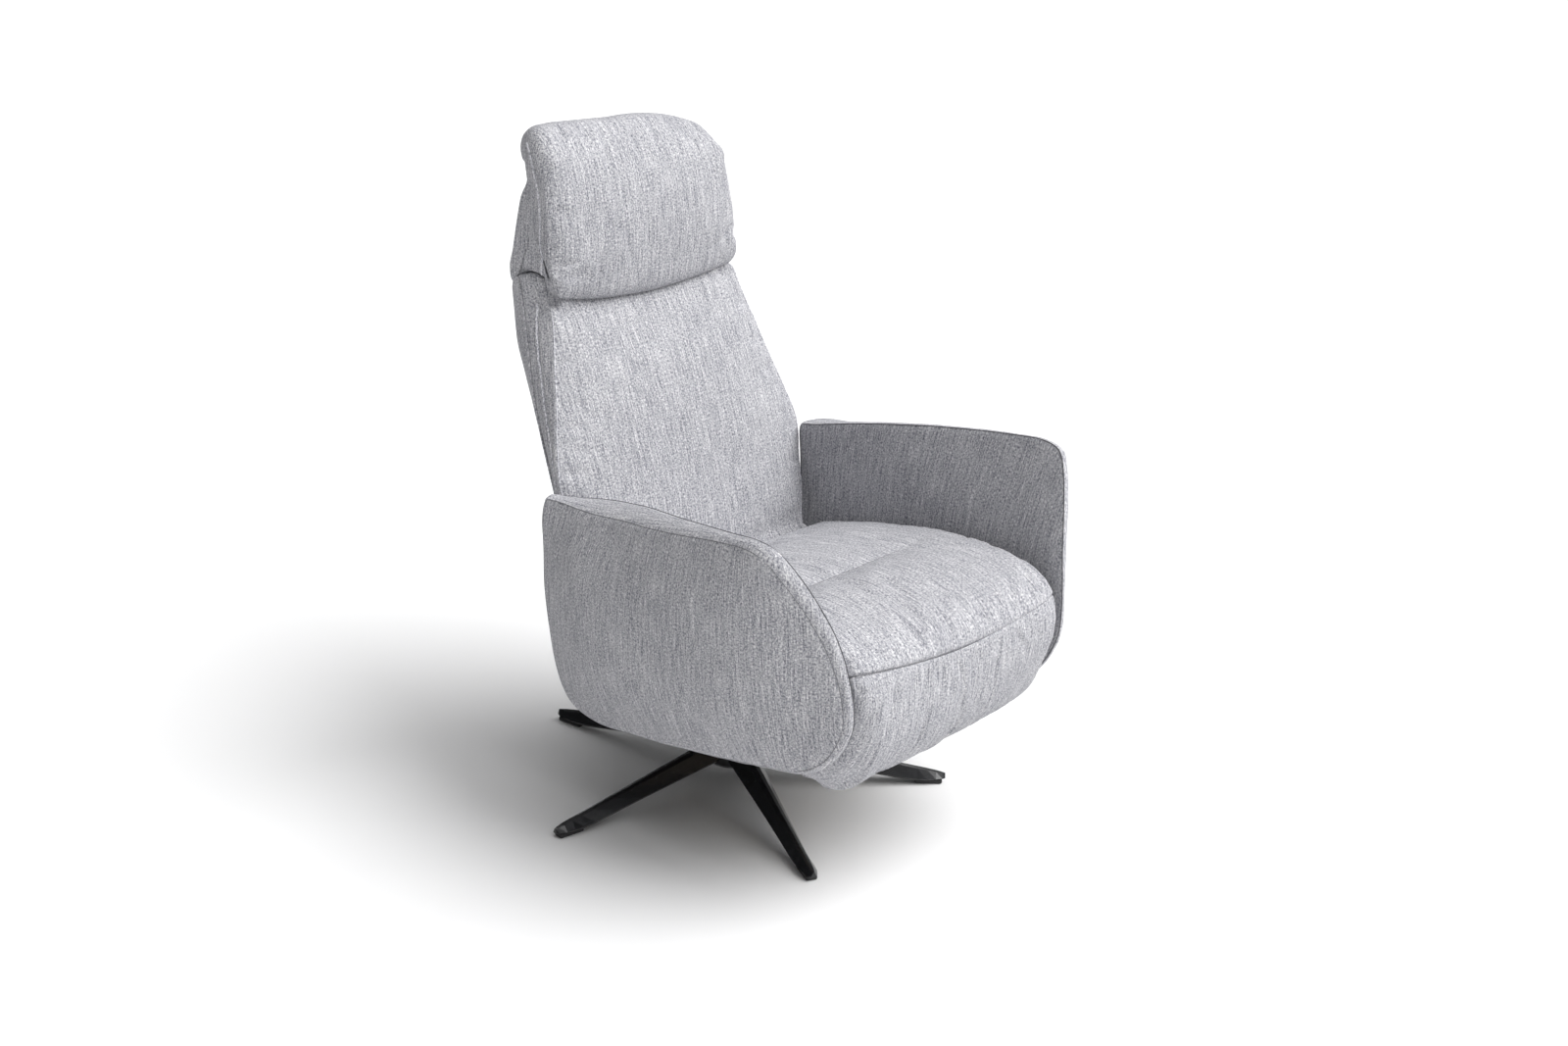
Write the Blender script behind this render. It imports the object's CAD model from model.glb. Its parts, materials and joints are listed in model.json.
import bpy
import bmesh
import json
import math
import numpy as np
from mathutils import Vector, Matrix
from mathutils.kdtree import KDTree


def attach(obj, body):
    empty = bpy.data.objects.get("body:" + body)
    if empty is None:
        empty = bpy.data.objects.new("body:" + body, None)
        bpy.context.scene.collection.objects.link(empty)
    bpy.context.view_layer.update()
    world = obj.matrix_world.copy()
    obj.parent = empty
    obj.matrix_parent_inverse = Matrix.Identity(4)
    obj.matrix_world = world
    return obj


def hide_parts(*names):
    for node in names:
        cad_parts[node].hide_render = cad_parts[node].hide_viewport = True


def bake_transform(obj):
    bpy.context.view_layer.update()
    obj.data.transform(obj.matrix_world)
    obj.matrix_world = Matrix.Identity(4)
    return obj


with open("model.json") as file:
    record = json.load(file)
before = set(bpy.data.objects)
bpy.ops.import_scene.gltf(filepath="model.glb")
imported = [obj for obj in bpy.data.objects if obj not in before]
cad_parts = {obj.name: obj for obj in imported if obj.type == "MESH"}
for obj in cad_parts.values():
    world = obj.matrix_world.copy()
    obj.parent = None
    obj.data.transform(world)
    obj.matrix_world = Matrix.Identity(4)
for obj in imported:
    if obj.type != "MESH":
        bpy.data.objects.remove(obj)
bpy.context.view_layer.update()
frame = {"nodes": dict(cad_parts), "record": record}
YS = 0.0635                      # swivel axis in the row frame; shapes below are written about the swivel axis

A = np.array([-0.405, 0.405])    # leg rest axis (y, z)
R = np.array([0.120, 0.365])     # recline axis
H = np.array([0.2885, 0.800])    # headrest axis
LEAN = math.radians(22.0)
U = np.array([math.sin(LEAN), math.cos(LEAN)])     # up the back
N = np.array([-math.cos(LEAN), math.sin(LEAN)])    # out of the back's front

# ------------------------------------------------------------------ camera
YAW, PITCH, ROLL = math.radians(46.56), math.radians(23.05), math.radians(2.95)
fw = Vector((math.sin(YAW) * math.cos(PITCH), math.cos(YAW) * math.cos(PITCH), -math.sin(PITCH)))
rt = Vector((math.cos(YAW), -math.sin(YAW), 0.0))
up = rt.cross(fw)
rt, up = rt * math.cos(ROLL) + up * math.sin(ROLL), -rt * math.sin(ROLL) + up * math.cos(ROLL)
cam_data = bpy.data.cameras.new("camera")
cam_data.sensor_width = 36.0
cam_data.lens = 36.0 * 2947.0 / 1600.0
cam_data.clip_end = 100.0
cam = bpy.data.objects.new("camera", cam_data)
m = Matrix((rt, up, -fw)).transposed().to_4x4()
m.translation = Vector((-3.0788, -3.0072 + YS, 2.3019))
cam.matrix_world = m
bpy.context.scene.collection.objects.link(cam)
bpy.context.scene.camera = cam


# ------------------------------------------------------------------ small tools
def spl(ctrl, x):
    """Cubic interpolation through (key, value) pairs, for a number or an array."""
    ks = np.array([c[0] for c in ctrl], float)
    vs = np.array([c[1] for c in ctrl], float)
    x = np.clip(np.asarray(x, float), ks[0], ks[-1])
    sl = np.empty_like(vs)
    sl[0] = (vs[1] - vs[0]) / (ks[1] - ks[0])
    sl[-1] = (vs[-1] - vs[-2]) / (ks[-1] - ks[-2])
    for i in range(1, len(ks) - 1):
        d0 = (vs[i] - vs[i - 1]) / (ks[i] - ks[i - 1])
        d1 = (vs[i + 1] - vs[i]) / (ks[i + 1] - ks[i])
        sl[i] = 0.0 if d0 * d1 <= 0 else 2 * d0 * d1 / (d0 + d1)
    i = np.clip(np.searchsorted(ks, x, side="right") - 1, 0, len(ks) - 2)
    h = ks[i + 1] - ks[i]
    t = (x - ks[i]) / h
    return ((2 * t**3 - 3 * t**2 + 1) * vs[i] + (t**3 - 2 * t**2 + t) * h * sl[i]
            + (-2 * t**3 + 3 * t**2) * vs[i + 1] + (t**3 - t**2) * h * sl[i + 1])


def loop_through(pts, n, closed=True):
    """n points of a centripetal Catmull-Rom curve through pts, equally spaced by length."""
    P = np.array(pts, float)
    k = len(P)
    out = []
    segs = k if closed else k - 1
    for i in range(segs):
        if closed:
            p0, p1, p2, p3 = P[(i - 1) % k], P[i], P[(i + 1) % k], P[(i + 2) % k]
        else:
            p1, p2 = P[i], P[i + 1]
            p0 = P[i - 1] if i > 0 else 2 * p1 - p2
            p3 = P[i + 2] if i + 2 < k else 2 * p2 - p1
        t0 = 0.0
        t1 = t0 + max(np.linalg.norm(p1 - p0), 1e-9) ** 0.5
        t2 = t1 + max(np.linalg.norm(p2 - p1), 1e-9) ** 0.5
        t3 = t2 + max(np.linalg.norm(p3 - p2), 1e-9) ** 0.5
        for j in range(24):
            t = t1 + (t2 - t1) * j / 24
            a1 = (t1 - t) / (t1 - t0) * p0 + (t - t0) / (t1 - t0) * p1
            a2 = (t2 - t) / (t2 - t1) * p1 + (t - t1) / (t2 - t1) * p2
            a3 = (t3 - t) / (t3 - t2) * p2 + (t - t2) / (t3 - t2) * p3
            b1 = (t2 - t) / (t2 - t0) * a1 + (t - t0) / (t2 - t0) * a2
            b2 = (t3 - t) / (t3 - t1) * a2 + (t - t1) / (t3 - t1) * a3
            out.append((t2 - t) / (t2 - t1) * b1 + (t - t1) / (t2 - t1) * b2)
    out.append(P[0] if closed else P[-1])
    out = np.array(out)
    s = np.concatenate([[0], np.cumsum(np.linalg.norm(np.diff(out, axis=0), axis=1))])
    want = np.linspace(0, s[-1], n + 1)[:-1] if closed else np.linspace(0, s[-1], n)
    return np.stack([np.interp(want, s, out[:, c]) for c in range(P.shape[1])], 1)


def tps(pts, vals):
    """Thin-plate surface through scattered (a, b) -> value."""
    P = np.array(pts, float)
    V = np.array(vals, float)
    def ker(d2):
        return np.where(d2 > 1e-12, 0.5 * d2 * np.log(np.maximum(d2, 1e-12)), 0.0)
    n = len(P)
    K = ker(((P[:, None] - P[None]) ** 2).sum(-1)) + np.eye(n) * 1e-6
    M = np.zeros((n + 3, n + 3))
    M[:n, :n] = K
    M[:n, n] = 1
    M[:n, n + 1:] = P
    M[n, :n] = 1
    M[n + 1:, :n] = P.T
    w = np.linalg.solve(M, np.concatenate([V, [0, 0, 0]]))
    def f(Q):
        Q = np.atleast_2d(Q)
        return ker(((Q[:, None] - P[None]) ** 2).sum(-1)) @ w[:n] + w[n] + Q @ w[n + 1:]
    return f


def noise2(u, v, seed, octaves=3):
    """Smooth, repeatable value noise on arrays, about -1 to 1."""
    total = np.zeros(np.broadcast(u, v).shape)
    amp, norm = 1.0, 0.0
    u = np.asarray(u, float) + 0 * np.asarray(v, float)
    v = np.asarray(v, float) + 0 * np.asarray(u, float)
    for o in range(octaves):
        iu, iv = np.floor(u), np.floor(v)
        fu, fv = u - iu, v - iv
        fu, fv = fu * fu * (3 - 2 * fu), fv * fv * (3 - 2 * fv)
        def h(a, b):
            q = np.sin(a * 127.1 + b * 311.7 + seed * 74.7 + o * 19.3) * 43758.5453
            return (q - np.floor(q)) * 2 - 1
        total += amp * ((h(iu, iv) * (1 - fu) + h(iu + 1, iv) * fu) * (1 - fv)
                        + (h(iu, iv + 1) * (1 - fu) + h(iu + 1, iv + 1) * fu) * fv)
        norm += amp
        amp *= 0.5
        u, v = u * 2.03 + 5.2, v * 2.03 + 1.3
    return total / norm


def add_object(name, verts, faces):
    me = bpy.data.meshes.new(name)
    me.from_pydata([tuple(v) for v in verts], [], [tuple(f) for f in faces])
    me.update()
    ob = bpy.data.objects.new(name, me)
    bpy.context.scene.collection.objects.link(ob)
    return ob


def skin(name, rows, cap=True):
    """Closed mesh over rows of closed loops (rows x columns x 3), its two ends closed round a middle point."""
    rows = np.asarray(rows, float)
    nr, nc, _ = rows.shape
    rows = rows.copy()
    rows[..., 1] += YS
    verts = rows.reshape(-1, 3)
    i = np.arange(nr - 1)[:, None] * nc
    j = np.arange(nc)[None]
    j2 = (j + 1) % nc
    faces = np.stack([i + j, i + j2, i + nc + j2, i + nc + j], -1).reshape(-1, 4).tolist()
    verts = list(map(tuple, verts))
    if cap:
        for base, flip in ((0, True), ((nr - 1) * nc, False)):
            c = len(verts)
            verts.append(tuple(np.mean(verts[base:base + nc], axis=0)))
            for k in range(nc):
                a, b = base + k, base + (k + 1) % nc
                faces.append([b, a, c] if flip else [a, b, c])
    ob = add_object(name, verts, faces)
    bm = bmesh.new()
    bm.from_mesh(ob.data)
    bmesh.ops.remove_doubles(bm, verts=bm.verts, dist=1e-6)
    bmesh.ops.recalc_face_normals(bm, faces=bm.faces)
    if bm.calc_volume(signed=True) < 0:
        bmesh.ops.reverse_faces(bm, faces=bm.faces)
    bm.to_mesh(ob.data)
    bm.free()
    ob.data.shade_smooth()
    return ob


def coords(ob):
    co = np.empty(len(ob.data.vertices) * 3)
    ob.data.vertices.foreach_get("co", co)
    return co.reshape(-1, 3)


def set_coords(ob, co):
    ob.data.vertices.foreach_set("co", np.ascontiguousarray(co, float).ravel())
    ob.data.update()


def normals(ob):
    no = np.empty(len(ob.data.vertices) * 3)
    ob.data.vertices.foreach_get("normal", no)
    return no.reshape(-1, 3)


def distance_to(co, line, reach=0.05):
    """Distance of each point to a dense polyline, and which of its points is nearest."""
    kd = KDTree(len(line))
    for i, p in enumerate(line):
        kd.insert(p, i)
    kd.balance()
    d = np.empty(len(co))
    idx = np.empty(len(co), int)
    for k, p in enumerate(co):
        _, ix, dist = kd.find(p)
        d[k] = dist
        idx[k] = ix
    return d, idx


def groove(ob, line, depth=0.0025, width=0.006, pucker=0.0, seed=1):
    """A seam valley along a line, with the small gathers that stitching pulls in."""
    line = np.asarray(line, float)
    co, no = coords(ob), normals(ob)
    d, idx = distance_to(co, line)
    s = np.concatenate([[0], np.cumsum(np.linalg.norm(np.diff(line, axis=0), axis=1))])[idx]
    push = -depth * np.exp(-(d / width) ** 2)
    if pucker:
        push += pucker * noise2(s / 0.016, d / 0.03, seed, 2) * np.exp(-(d / (width * 3.2)) ** 2) * (1 - np.exp(-(d / (width * 0.5)) ** 2))
    set_coords(ob, co + no * push[:, None])


def snap(ob, line, lift=0.0):
    """The line moved onto the surface of a mesh."""
    out = []
    for p in line:
        hit, loc, nor, _ = ob.closest_point_on_mesh(Vector(p))
        out.append(np.array(loc + nor * lift) if hit else np.array(p))
    return np.array(out)


def spread(ob, field, times):
    """A per-vertex field averaged with its neighbours, many times over."""
    e = np.empty(len(ob.data.edges) * 2, int)
    ob.data.edges.foreach_get("vertices", e)
    e = e.reshape(-1, 2)
    n = len(ob.data.vertices)
    count = np.bincount(e.ravel(), minlength=n).astype(float)[:, None]
    count[count == 0] = 1
    f = field.copy()
    for _ in range(times):
        tot = np.zeros_like(f)
        for c in range(f.shape[1]):
            tot[:, c] = np.bincount(e[:, 0], weights=f[e[:, 1], c], minlength=n) + np.bincount(e[:, 1], weights=f[e[:, 0], c], minlength=n)
        f = 0.5 * f + 0.5 * tot / count
    return f


def settle(ob, pin, pressure=4.0, slack=0.03, cap=0.008, bend=0.4, bulge=0.35, fine=1.0, frames=20, soft=60):
    """Cloth over stuffing: the cover is simulated under inside pressure with its seams held, and the piece takes the result,
    no point moving more than cap. bulge is the share kept of the broad swelling, fine the share kept of the folds."""
    scene = bpy.context.scene
    rest = coords(ob)
    sim = bpy.data.objects.new("settling", ob.data.copy())
    scene.collection.objects.link(sim)
    group = sim.vertex_groups.new(name="held")
    pin = np.clip(np.asarray(pin, float), 0, 1)
    steps = np.round(pin * 20).astype(int)
    for k in range(1, 21):
        group.add(np.nonzero(steps == k)[0].tolist(), k / 20.0, 'REPLACE')
    mod = sim.modifiers.new("cloth", 'CLOTH')
    st = mod.settings
    st.quality = 5
    st.mass = 0.2
    st.tension_stiffness = 20
    st.compression_stiffness = 20
    st.shear_stiffness = 5
    st.bending_stiffness = bend
    st.tension_damping = 8
    st.compression_damping = 8
    st.shear_damping = 8
    st.bending_damping = 0.5
    st.air_damping = 4
    st.use_pressure = True
    st.uniform_pressure_force = pressure
    st.vertex_group_mass = "held"
    st.shrink_min = -slack
    st.effector_weights.gravity = 0
    mod.collision_settings.use_collision = False
    mod.collision_settings.use_self_collision = False
    mod.point_cache.frame_start = 1
    mod.point_cache.frame_end = frames
    for f in range(1, frames + 1):
        scene.frame_set(f)
    ev = sim.evaluated_get(bpy.context.evaluated_depsgraph_get())
    me = ev.to_mesh()
    co = np.empty(len(me.vertices) * 3)
    me.vertices.foreach_get("co", co)
    ev.to_mesh_clear()
    data = sim.data
    bpy.data.objects.remove(sim, do_unlink=True)
    bpy.data.meshes.remove(data)
    scene.frame_set(1)
    move = co.reshape(-1, 3) - rest
    low = spread(ob, move, soft)
    move = low * bulge + (move - low) * fine
    size = np.linalg.norm(move, axis=1)
    move *= (cap * np.tanh(size / cap) / np.maximum(size, 1e-9))[:, None]
    set_coords(ob, rest + move * (1 - pin)[:, None])
    print("SETTLED", ob.name, "largest move %.1f mm, mean %.1f mm" % (size.max() * 1000, size.mean() * 1000))


def smooth_line(line, times=3, closed=False):
    line = np.array(line)
    for _ in range(times):
        new = line.copy()
        new[1:-1] = (line[:-2] + 2 * line[1:-1] + line[2:]) / 4
        if closed:
            new[0] = (line[-1] + 2 * line[0] + line[1]) / 4
            new[-1] = (line[-2] + 2 * line[-1] + line[0]) / 4
        line = new
    return line


def thread(name, line, radius, material, closed=False):
    """A fine cord or stitched line laid along a seam."""
    cu = bpy.data.curves.new(name, 'CURVE')
    cu.dimensions = '3D'
    cu.bevel_depth = radius
    cu.bevel_resolution = 1
    cu.use_fill_caps = not closed
    sp = cu.splines.new('POLY')
    sp.points.add(len(line) - 1)
    for p, q in zip(sp.points, line):
        p.co = (*q, 1)
    sp.use_cyclic_u = closed
    ob = bpy.data.objects.new(name, cu)
    bpy.context.scene.collection.objects.link(ob)
    bpy.context.view_layer.update()
    me = bpy.data.meshes.new_from_object(ob.evaluated_get(bpy.context.evaluated_depsgraph_get()))
    bpy.data.objects.remove(ob, do_unlink=True)
    out = bpy.data.objects.new(name, me)
    bpy.context.scene.collection.objects.link(out)
    bm = bmesh.new()
    bm.from_mesh(me)
    bmesh.ops.remove_doubles(bm, verts=bm.verts, dist=1e-6)
    bm.to_mesh(me)
    bm.free()
    me.shade_smooth()
    me.materials.clear()
    me.materials.append(material)
    box_uv(out)
    return out


def box_uv(ob, along=(0, 0, 1), across=(1, 0, 0)):
    """Weave coordinates in metres: the thread direction runs along one axis of the piece, and each face takes the plane it faces."""
    me = ob.data
    b = np.array(along, float)
    a = np.array(across, float)
    c = np.cross(a, b)
    nl = len(me.loops)
    vi = np.empty(nl, int)
    me.loops.foreach_get("vertex_index", vi)
    nf = len(me.polygons)
    start = np.empty(nf, int)
    total = np.empty(nf, int)
    fn = np.empty(nf * 3)
    me.polygons.foreach_get("loop_start", start)
    me.polygons.foreach_get("loop_total", total)
    me.polygons.foreach_get("normal", fn)
    fn = fn.reshape(-1, 3)
    na, nb, nc = np.abs(fn @ a), np.abs(fn @ b), np.abs(fn @ c)
    kind = np.where((na > nb) & (na > nc), 0, np.where(nb > nc, 1, 2))
    kind_l = np.repeat(kind, total)
    p = coords(ob)[vi]
    pa, pb, pc = p @ a, p @ b, p @ c
    uu = np.where(kind_l == 0, pc + 0.37, pa)
    vv = np.where(kind_l == 1, pc + 0.61, pb)
    uv = me.uv_layers.get("weave") or me.uv_layers.new(name="weave")
    uv.data.foreach_set("uv", np.stack([uu, vv], 1).ravel())
    return ob


def subdivide(ob, levels=1):
    mod = ob.modifiers.new("sub", 'SUBSURF')
    mod.levels = levels
    mod.render_levels = levels
    apply_mods(ob)


def apply_mods(ob):
    bpy.context.view_layer.update()
    me = bpy.data.meshes.new_from_object(ob.evaluated_get(bpy.context.evaluated_depsgraph_get()))
    old = ob.data
    ob.modifiers.clear()
    ob.data = me
    bpy.data.meshes.remove(old)
    ob.data.shade_smooth()


# ------------------------------------------------------------------ materials
class Graph:
    def __init__(self, name):
        self.mat = bpy.data.materials.new(name)
        self.mat.use_nodes = True
        self.t = self.mat.node_tree
        self.t.nodes.clear()
        self.out = self.t.nodes.new("ShaderNodeOutputMaterial")
        self.b = self.t.nodes.new("ShaderNodeBsdfPrincipled")
        self.t.links.new(self.b.outputs[0], self.out.inputs[0])

    def node(self, kind, **props):
        n = self.t.nodes.new(kind)
        for k, v in props.items():
            setattr(n, k, v)
        return n

    def put(self, socket, value):
        if hasattr(value, "is_output"):
            self.t.links.new(value, socket)
        else:
            socket.default_value = value

    def math(self, op, a, b=0.0, clamp=False):
        n = self.node("ShaderNodeMath", operation=op, use_clamp=clamp)
        self.put(n.inputs[0], a)
        self.put(n.inputs[1], b)
        return n.outputs[0]

    def scaled(self, vec, scale):
        n = self.node("ShaderNodeMapping")
        self.put(n.inputs["Vector"], vec)
        n.inputs["Scale"].default_value = scale
        return n.outputs[0]

    def noise(self, vec, scale, detail=2.0, rough=0.5, dist=0.0):
        n = self.node("ShaderNodeTexNoise")
        self.put(n.inputs["Vector"], vec)
        n.inputs["Scale"].default_value = scale
        n.inputs["Detail"].default_value = detail
        n.inputs["Roughness"].default_value = rough
        n.inputs["Distortion"].default_value = dist
        return n.outputs[0]

    def ramp(self, fac, stops):
        n = self.node("ShaderNodeValToRGB")
        self.put(n.inputs[0], fac)
        e = n.color_ramp.elements
        while len(e) > 1:
            e.remove(e[0])
        e[0].position, e[0].color = stops[0][0], (*stops[0][1], 1)
        for p, c in stops[1:]:
            x = e.new(p)
            x.color = (*c, 1)
        return n.outputs[0]

    def bump(self, height, strength, distance, normal=None):
        n = self.node("ShaderNodeBump")
        n.inputs["Strength"].default_value = strength
        n.inputs["Distance"].default_value = distance
        self.put(n.inputs["Height"], height)
        if normal is not None:
            self.put(n.inputs["Normal"], normal)
        return n.outputs[0]


def fabric_material(name, gain=1.0, seam_dark=0.0):
    """Light grey melange upholstery: a fine basket weave of pale and darker threads with long upright slubs."""
    g = Graph(name)
    uv = g.node("ShaderNodeUVMap")
    uv.uv_map = "weave"
    w = uv.outputs[0]
    # single threads: short dashes across and along, so that light and dark ends show one by one
    warp = g.noise(g.scaled(w, (520, 260, 1)), 1.0, 2.0, 0.55, 0.0)
    weft = g.noise(g.scaled(w, (260, 520, 1)), 1.0, 2.0, 0.55, 0.0)
    slub = g.noise(g.scaled(w, (520, 26, 1)), 1.0, 3.0, 0.6, 0.2)
    streak = g.noise(g.scaled(w, (300, 9, 1)), 1.0, 2.0, 0.5, 0.3)
    cloud = g.noise(g.scaled(w, (9, 5, 1)), 1.0, 2.0, 0.5)
    v = g.math('ADD', g.math('MULTIPLY', warp, 0.37), g.math('MULTIPLY', weft, 0.22))
    v = g.math('ADD', v, g.math('MULTIPLY', slub, 0.25))
    v = g.math('ADD', v, g.math('MULTIPLY', streak, 0.13))
    v = g.math('ADD', v, g.math('MULTIPLY', cloud, 0.03))
    k = gain
    col = g.ramp(v, [(0.385, (0.115 * k, 0.117 * k, 0.140 * k)), (0.455, (0.270 * k, 0.272 * k, 0.302 * k)),
                     (0.505, (0.430 * k, 0.430 * k, 0.458 * k)), (0.555, (0.600 * k, 0.596 * k, 0.615 * k)),
                     (0.630, (0.840 * k, 0.832 * k, 0.840 * k))])
    g.put(g.b.inputs["Base Color"], col)
    g.b.inputs["Roughness"].default_value = 0.9
    g.b.inputs["Specular IOR Level"].default_value = 0.2
    g.b.inputs["Sheen Weight"].default_value = 0.10
    g.b.inputs["Sheen Roughness"].default_value = 0.5
    g.b.inputs["Sheen Tint"].default_value = (0.9, 0.9, 0.95, 1)
    def wave(direction, scale):
        n = g.node("ShaderNodeTexWave", wave_type='BANDS', bands_direction=direction, wave_profile='SIN')
        g.put(n.inputs["Vector"], w)
        n.inputs["Scale"].default_value = scale
        n.inputs["Distortion"].default_value = 0.8
        n.inputs["Detail"].default_value = 1.0
        n.inputs["Detail Scale"].default_value = 20.0
        return n.outputs["Fac"]
    weave = g.math('MAXIMUM', wave('X', 175.0), wave('Y', 175.0))
    h = g.math('ADD', g.math('MULTIPLY', weave, 0.5), g.math('MULTIPLY', warp, 1.0))
    h = g.math('ADD', h, g.math('MULTIPLY', weft, 0.6))
    h = g.math('ADD', h, g.math('MULTIPLY', slub, 0.7))
    n1 = g.bump(h, 0.7, 0.0012)
    n2 = g.bump(g.noise(g.scaled(w, (30, 20, 1)), 1.0, 3.0, 0.55), 0.16, 0.004, n1)
    g.put(g.b.inputs["Normal"], n2)
    return g.mat


def plain_material(name, colour, rough, metal=0.0, scale=60.0, var=0.12, bump=0.02, coat=0.0):
    g = Graph(name)
    tc = g.node("ShaderNodeTexCoord")
    nz = g.noise(tc.outputs["Object"], scale, 4.0, 0.6)
    c = np.array(colour)
    col = g.ramp(nz, [(0.3, tuple(c * (1 - var))), (0.7, tuple(np.minimum(c * (1 + var), 1.0)))])
    g.put(g.b.inputs["Base Color"], col)
    rr = g.node("ShaderNodeMapRange")
    g.put(rr.inputs["Value"], g.noise(tc.outputs["Object"], scale * 2.3, 5.0, 0.65))
    rr.inputs["To Min"].default_value = max(rough - 0.06, 0.02)
    rr.inputs["To Max"].default_value = min(rough + 0.08, 1.0)
    g.put(g.b.inputs["Roughness"], rr.outputs[0])
    g.b.inputs["Metallic"].default_value = metal
    if coat:
        g.b.inputs["Coat Weight"].default_value = coat
        g.b.inputs["Coat Roughness"].default_value = 0.08
    g.put(g.b.inputs["Normal"], g.bump(g.noise(tc.outputs["Object"], scale * 9, 3.0, 0.5), bump, 0.001))
    return g.mat


def brushed_material(name, colour, rough):
    g = Graph(name)
    tc = g.node("ShaderNodeTexCoord")
    fine = g.noise(g.scaled(tc.outputs["Object"], (900, 60, 60)), 1.0, 4.0, 0.6)
    col = g.ramp(fine, [(0.3, tuple(np.array(colour) * 0.8)), (0.7, tuple(colour))])
    g.put(g.b.inputs["Base Color"], col)
    g.b.inputs["Metallic"].default_value = 1.0
    rr = g.node("ShaderNodeMapRange")
    g.put(rr.inputs["Value"], fine)
    rr.inputs["To Min"].default_value = rough - 0.05
    rr.inputs["To Max"].default_value = rough + 0.1
    g.put(g.b.inputs["Roughness"], rr.outputs[0])
    g.put(g.b.inputs["Normal"], g.bump(fine, 0.08, 0.0004))
    return g.mat


def ply_material(name):
    g = Graph(name)
    tc = g.node("ShaderNodeTexCoord")
    grain = g.noise(g.scaled(tc.outputs["Object"], (6, 60, 60)), 1.0, 6.0, 0.6, 0.8)
    col = g.ramp(grain, [(0.3, (0.21, 0.165, 0.12)), (0.55, (0.31, 0.255, 0.19)), (0.75, (0.38, 0.32, 0.25))])
    g.put(g.b.inputs["Base Color"], col)
    g.b.inputs["Roughness"].default_value = 0.65
    g.put(g.b.inputs["Normal"], g.bump(grain, 0.15, 0.0006))
    return g.mat


FABRIC = fabric_material("melange_weave")
SEAM = plain_material("seam_thread", (0.20, 0.20, 0.215), 0.9, 0.0, 400.0, 0.3, 0.3)
SEAM_DEEP = plain_material("seam_shadow", (0.100, 0.100, 0.108), 0.95, 0.0, 400.0, 0.3, 0.3)
PIPING = fabric_material("piping_weave", 1.55)
STAR = plain_material("star_black", (0.012, 0.0125, 0.0145), 0.24, 0.0, 90.0, 0.25, 0.03, 0.35)
COLUMN = plain_material("column_black", (0.014, 0.014, 0.016), 0.32, 0.0, 80.0, 0.2, 0.03)
FRAME = plain_material("frame_enamel", (0.02, 0.02, 0.021), 0.5, 0.0, 120.0, 0.25, 0.12)
PLASTIC = plain_material("glide_plastic", (0.018, 0.018, 0.019), 0.55, 0.0, 200.0, 0.2, 0.10)
STEEL = brushed_material("zinc_steel", (0.58, 0.59, 0.61), 0.38)
ROD = brushed_material("polished_rod", (0.78, 0.78, 0.80), 0.18)
PLY = ply_material("birch_ply")
SLOT_MAT = {"star_black": STAR, "column_black": COLUMN, "glide_plastic": PLASTIC, "bare_steel": STEEL, "frame_black": FRAME,
            "plywood": PLY, "polished_rod": ROD, "bezel_plastic": PLASTIC, "upholstery": FABRIC}
for sub in frame["record"]["subparts"]:
    ob = frame["nodes"].get(sub["node"])
    if ob is None:
        continue
    mat = SLOT_MAT[sub["material_slot"]]
    if not ob.material_slots:
        ob.data.materials.append(mat)
    for s in ob.material_slots:
        s.material = mat


def dress(ob, body, mat=None, along=(0, 0, 1), across=(1, 0, 0)):
    ob.data.materials.clear()
    ob.data.materials.append(mat or FABRIC)
    box_uv(ob, along, across)
    if body:
        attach(ob, body)
    return ob


# ------------------------------------------------------------------ armrests
ARM_IN_L = [(.111, .545, .259), (.040, .566, .264), (-.060, .592, .278), (-.175, .615, .302), (-.290, .635, .317), (-.351, .643, .320),
          (-.385, .637, .317), (-.406, .613, .304), (-.430, .569, .282), (-.457, .500, .255), (-.476, .425, .241), (-.479, .370, .2350),
          (-.466, .331, .2315), (-.436, .288, .233), (-.396, .259, .243), (-.300, .238, .251), (-.170, .215, .253), (-.050, .196, .254),
          (.024, .190, .255), (.072, .208, .256), (.099, .270, .257), (.110, .340, .257), (.118, .420, .257), (.125, .485, .258), (.130, .531, .258), (.128, .541, .2585)]
ARM_OUT_L = [(.110, .5455, .305), (.036, .5580, .312), (-.056, .5785, .323), (-.170, .601, .338), (-.287, .625, .341), (-.345, .632, .342),
           (-.378, .625, .340), (-.396, .602, .329), (-.419, .561, .307), (-.447, .495, .277), (-.467, .424, .259), (-.472, .370, .253),
           (-.461, .334, .250), (-.436, .292, .252), (-.400, .266, .263), (-.300, .243, .278), (-.175, .219, .286), (-.055, .199, .290),
           (.022, .193, .294), (.075, .212, .302), (.099, .270, .313), (.109, .340, .321), (.1165, .415, .324), (.1215, .475, .319), (.1240, .522, .310), (.1215, .540, .305)]
IN_X = [(-.20, .30, .2525), (-.20, .42, .2560), (-.20, .50, .266), (-.20, .56, .283), (-.38, .45, .249), (-.38, .53, .270), (-.38, .36, .241),
        (0.0, .33, .256), (0.0, .45, .2565), (0.0, .52, .261), (-.30, .33, .248)]
OUT_X = [(-.15, .42, .3560), (-.30, .46, .3460), (.02, .40, .3530), (-.10, .30, .3380), (-.15, .54, .3530), (-.38, .46, .3190),
         (-.28, .33, .3270), (-.385, .37, .3000), (.02, .49, .3520), (-.30, .57, .3500), (.05, .29, .3330), (-.37, .56, .3330)]
NTH = 220


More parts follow.
